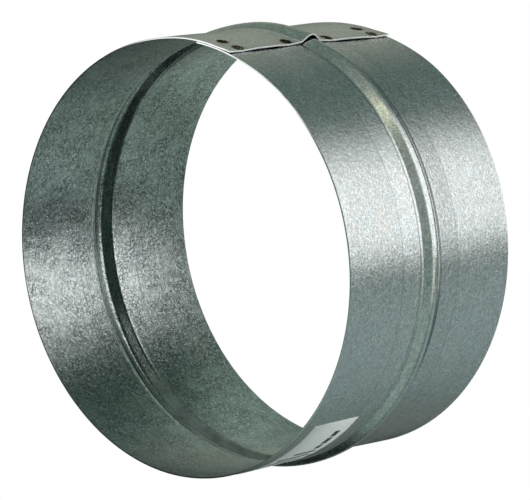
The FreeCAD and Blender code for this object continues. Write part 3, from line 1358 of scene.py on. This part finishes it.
@dataclass
class Studio:
    """A plain white floor under soft light from all round. Sizes in metres."""

    floor_size: float = 8.0
    floor_gap: float = 0.05 * MM
    white: Colour = (1.0, 1.0, 1.0)
    room: Colour = (0.116, 0.167, 0.151)
    # Colour, azimuth, half width and its soft sides, elevation, half height and its soft ends.
    boxes: Sequence[Softbox] = (
        Softbox((0.26, 0.30, 0.27), 0.0, 220.0, 5.0, 5.0, 5.0, 30.0, 8.0),
        Softbox((0.16, 0.22, 0.20), -120.0, 46.0, 10.0, 10.0, 5.0, 30.0, 8.0),
        Softbox((0.30, 0.385, 0.355), -140.0, 44.0, 8.0, 8.0, 16.0, 20.0, 6.0),
        Softbox((0.17, 0.23, 0.19), 42.0, 30.0, 8.0, 8.0, 5.0, 30.0, 8.0),
        Softbox((0.01, 0.015, 0.015), 170.0, 26.0, 10.0, 10.0, -8.0, 22.0, 8.0),
        Softbox((0.15, 0.165, 0.15), 166.0, 14.0, 10.0, 10.0, -50.0, 18.0, 6.0),
        Softbox((0.03, 0.04, 0.04), 128.0, 18.0, 12.0, 12.0, -48.0, 20.0, 6.0),
        Softbox((0.05, 0.065, 0.06), 108.0, 24.0, 8.0, 8.0, -20.0, 16.0, 6.0),
        Softbox((0.006, 0.008, 0.008), 120.0, 30.0, 8.0, 8.0, 40.0, 26.0, 6.0),
        Softbox((0.36, 0.38, 0.32), 78.0, 22.0, 22.0, 16.0, -50.0, 24.0, 6.0),
        Softbox((0.30, 0.37, 0.37), -127.0, 35.5, 34.0, 6.0, -52.0, 24.0, 6.0),
        Softbox((1.42, 1.44, 1.43), -48.9, 29.0, 3.0, 18.0, -28.0, 29.0, 3.0),
        Softbox((0.80, 0.84, 0.76), -84.0, 12.0, 5.0, 5.0, -10.0, 10.0, 4.0),
        Softbox((1.40, 1.41, 1.02), -10.5, 4.5, 5.0, 5.0, 12.0, 12.0, 6.0),
        Softbox((1.60, 1.62, 1.61), 24.0, 30.0, 6.0, 6.0, 58.0, 33.0, 4.0),
        Softbox((1.60, 1.62, 1.61), 60.0, 16.0, 6.0, 6.0, 40.0, 32.0, 4.0),
        Softbox((9.50, 9.56, 9.50), -85.0, 50.0, 12.0, 12.0, 63.0, 11.0, 5.0),
        Softbox((0.02, 0.03, 0.03), 0.0, 220.0, 5.0, 5.0, -92.0, 30.0, 3.0),
        Softbox((0.14, 0.18, 0.175), -124.0, 40.0, 10.0, 10.0, -76.0, 16.0, 3.0),
    )
    cards: Sequence[ReflectorCard] = (
        ReflectorCard(
            "rear_card",
            radius=96.0,
            height=-60.0,
            apex=(-6.0, 24.0),
            dim=0.8,
            fade=(0.0, 45.0),
            tints=(
                (-180.0, (0.25, 0.33, 0.29)),
                (-163.0, (0.27, 0.35, 0.31)),
                (-143.0, (0.33, 0.41, 0.39)),
                (-124.0, (0.46, 0.55, 0.54)),
                (-112.0, (0.02, 0.04, 0.04)),
                (-97.0, (0.02, 0.04, 0.04)),
                (-84.0, (0.95, 1.0, 1.01)),
                (-68.0, (1.65, 1.64, 1.67)),
                (-45.0, (1.40, 1.39, 1.39)),
                (-24.0, (0.36, 0.41, 0.40)),
                (-6.0, (0.07, 0.11, 0.09)),
                (22.0, (0.03, 0.06, 0.045)),
                (50.0, (0.05, 0.09, 0.07)),
                (73.0, (0.16, 0.225, 0.195)),
                (95.0, (0.33, 0.42, 0.37)),
                (125.0, (0.35, 0.455, 0.40)),
                (158.0, (0.215, 0.28, 0.24)),
                (180.0, (0.25, 0.33, 0.29)),
            ),
        ),
        ReflectorCard(
            "front_card",
            radius=90.0,
            height=96.0,
            dim=0.03,
            fade=(66.0, 76.0),
            tints=(
                (-180.0, (0.006, 0.008, 0.008)),
                (-150.0, (0.006, 0.008, 0.008)),
                (-130.0, (0.10, 0.18, 0.145)),
                (-34.0, (0.10, 0.18, 0.145)),
                (-22.0, (1.4, 1.42, 1.40)),
                (32.0, (1.4, 1.42, 1.40)),
                (42.0, (0.006, 0.008, 0.008)),
                (180.0, (0.006, 0.008, 0.008)),
            ),
        ),
        ReflectorCard(
            "side_card",
            radius=30.0,
            height=97.0,
            centre=(83.4, -38.9),
            tints=((-180.0, (0.14, 0.20, 0.17)), (180.0, (0.14, 0.20, 0.17))),
        ),
    )

    def light(self) -> None:
        """Makes the world that the part reflects, plain white where the camera looks past it."""
        world = bpy.data.worlds.new("studio")
        world.use_nodes = True
        bpy.context.scene.world = world
        graph = Graph(world.node_tree)
        way = graph.out(graph.node("ShaderNodeTexCoord"), "Generated")
        x, y, z = graph.parts(way)
        azimuth = graph.math("ARCTAN2", y, x)
        elevation = graph.math("ARCSINE", z)
        light: Tint = self.room
        for box in self.boxes:
            light = box.add(graph, azimuth, elevation, light)
        seen = graph.out(graph.node("ShaderNodeLightPath"), "Is Camera Ray")
        graph.wire(graph.find("BACKGROUND"), {"Color": graph.mix(seen, light, self.white)})

    def lay_floor(self) -> None:
        """Lays the floor, which only the camera sees."""
        bpy.ops.object.select_all(action="DESELECT")
        bpy.ops.mesh.primitive_plane_add(size=self.floor_size, location=DUCT_AXIS * -self.floor_gap)
        floor = bpy.context.active_object
        floor.name = "floor"
        bpy.ops.object.transform_apply(location=True, rotation=True, scale=True)
        material, graph, _ = new_material("white_floor")
        graph.glow(self.white, 1.0)
        floor.data.materials.append(material)
        for ray in ("diffuse", "glossy", "transmission", "volume_scatter", "shadow"):
            setattr(floor, f"visible_{ray}", False)

    def develop(self) -> None:
        """Sets the plain view transform, so that white stays white."""
        bpy.context.scene.view_settings.view_transform = "Standard"


@dataclass(frozen=True)
class PhotoCamera:
    """The camera at the photograph's viewing angle. Sizes in millimetres and degrees."""

    azimuth: float = -59.473
    elevation: float = 47.876
    roll: float = -100.14
    distance: float = 1816.2
    aim: tuple[float, float, float] = (-1.58, -1.43, 43.61)
    lens: float = 338.2
    sensor: float = 36.0
    clip: Span = (50.0, 50000.0)

    def place(self) -> None:
        """Adds the camera and makes it the scene's camera."""
        azimuth, elevation = math.radians(self.azimuth), math.radians(self.elevation)
        roll = math.radians(self.roll)
        flat = math.cos(elevation)
        back = Vector((flat * math.cos(azimuth), flat * math.sin(azimuth), math.sin(elevation)))
        level = (-back).cross(DUCT_AXIS).normalized()
        upright = back.cross(level)
        right = math.cos(roll) * level + math.sin(roll) * upright
        up = back.cross(right)
        turn = Matrix((right, up, back)).transposed().to_4x4()
        data = bpy.data.cameras.new("photo_camera")
        data.lens = self.lens
        data.sensor_fit = "HORIZONTAL"
        data.sensor_width = self.sensor
        data.clip_start, data.clip_end = (part * MM for part in self.clip)
        camera = bpy.data.objects.new("photo_camera", data)
        bpy.context.scene.collection.objects.link(camera)
        stand = (Vector(self.aim) + back * self.distance) * MM
        camera.matrix_world = Matrix.Translation(stand) @ turn
        bpy.context.scene.camera = camera


def main() -> None:
    """Builds the connector and its studio."""
    logging.basicConfig(level=logging.INFO, format="%(name)s: %(message)s")
    log.info("packed part: %d nodes", len(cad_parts))
    PhotoCamera().place()
    studio = Studio()
    studio.light()
    studio.lay_floor()
    for card in studio.cards:
        card.lay()
    studio.develop()
    for assembly in (Sleeve(), Label()):
        assembly.build()
        assembly.dress()
        for piece in assembly.pieces:
            log.info("%s: %d faces", piece.name, len(piece.data.polygons))


if __name__ == "__main__":
    main()
